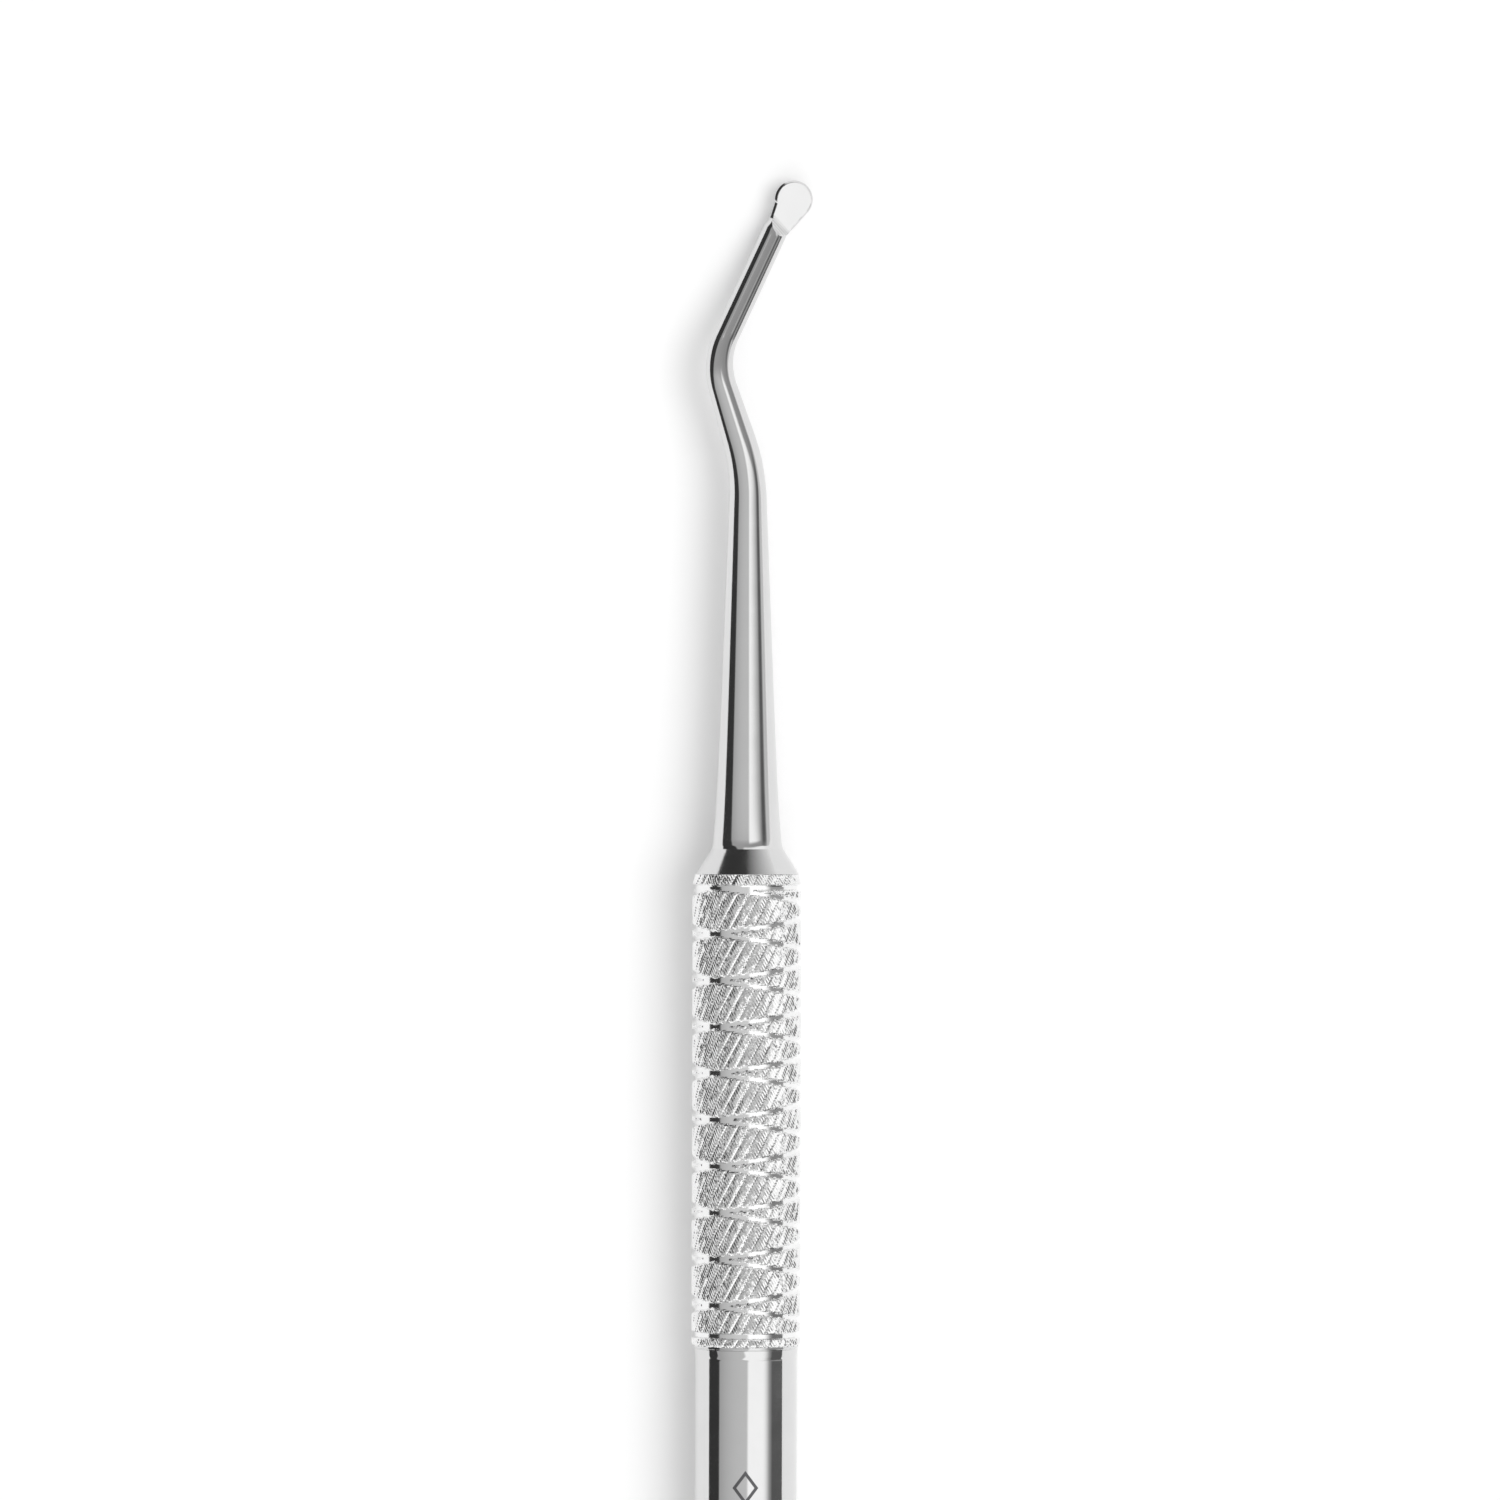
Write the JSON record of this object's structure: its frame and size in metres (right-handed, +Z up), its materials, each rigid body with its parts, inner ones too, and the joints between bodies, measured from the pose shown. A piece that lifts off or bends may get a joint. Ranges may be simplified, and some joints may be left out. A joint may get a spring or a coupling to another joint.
{
  "type": "dental hand instrument",
  "caption": "Slim double-ended steel hand instrument with a knurled hollow handle, tapered bent shanks and a small round flat-faced blade at each end.",
  "frame": {"origin": "on the handle's axis, halfway along the handle", "axes": "+Y along the handle towards the front end, +Z up with the front blade's face upwards, +X towards the side that the front blade leans to"},
  "size_m": [0.0076, 0.1752, 0.0064],
  "materials": {
    "handle_steel": "polished stainless steel with knurled grips",
    "cone_steel": "polished stainless steel with fine turning lines",
    "shank_steel": "hardened stainless steel, finely polished"
  },
  "bodies": {
    "root": {"handle_tube": "handle_steel", "front_end_cone": "cone_steel", "rear_end_cone": "cone_steel", "front_working_end": "shank_steel", "rear_working_end": "shank_steel"}
  },
  "joints": []
}
